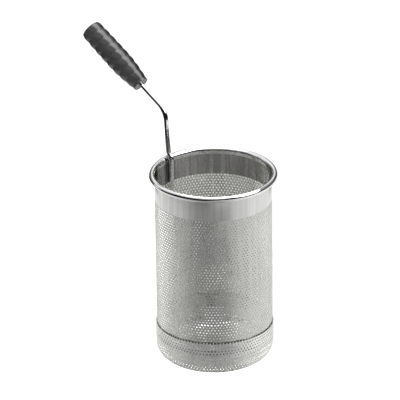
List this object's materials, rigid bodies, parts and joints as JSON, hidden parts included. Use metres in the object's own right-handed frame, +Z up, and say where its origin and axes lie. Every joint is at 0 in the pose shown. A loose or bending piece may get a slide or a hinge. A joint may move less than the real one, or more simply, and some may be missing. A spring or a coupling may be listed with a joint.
{
  "type": "perforated basket strainer with lift-out handle",
  "caption": "Round perforated steel basket with a rolled rim, a drawn perforated bottom cup and a bent rod handle with a ringed black grip, lifted out of boiling water.",
  "frame": {"origin": "middle of the underside of the basket's flat floor, on the basket's axis", "axes": "+Z up along the basket's axis, through the open top; the handle stands out over the rim towards -X"},
  "size_m": [0.285, 0.1586, 0.3961],
  "materials": {
    "sheet_steel": "satin",
    "bright_rod": "polished",
    "weld_steel": "satin",
    "grip_plastic": "satin"
  },
  "bodies": {
    "root": {"basket_wall": "sheet_steel", "bottom_cup": "sheet_steel", "rim_wire": "bright_rod", "handle_rod": "bright_rod", "handle_grip": "grip_plastic", "rod_welds": "weld_steel", "seam_weld": "weld_steel", "cup_spot_welds": "weld_steel"}
  },
  "joints": []
}
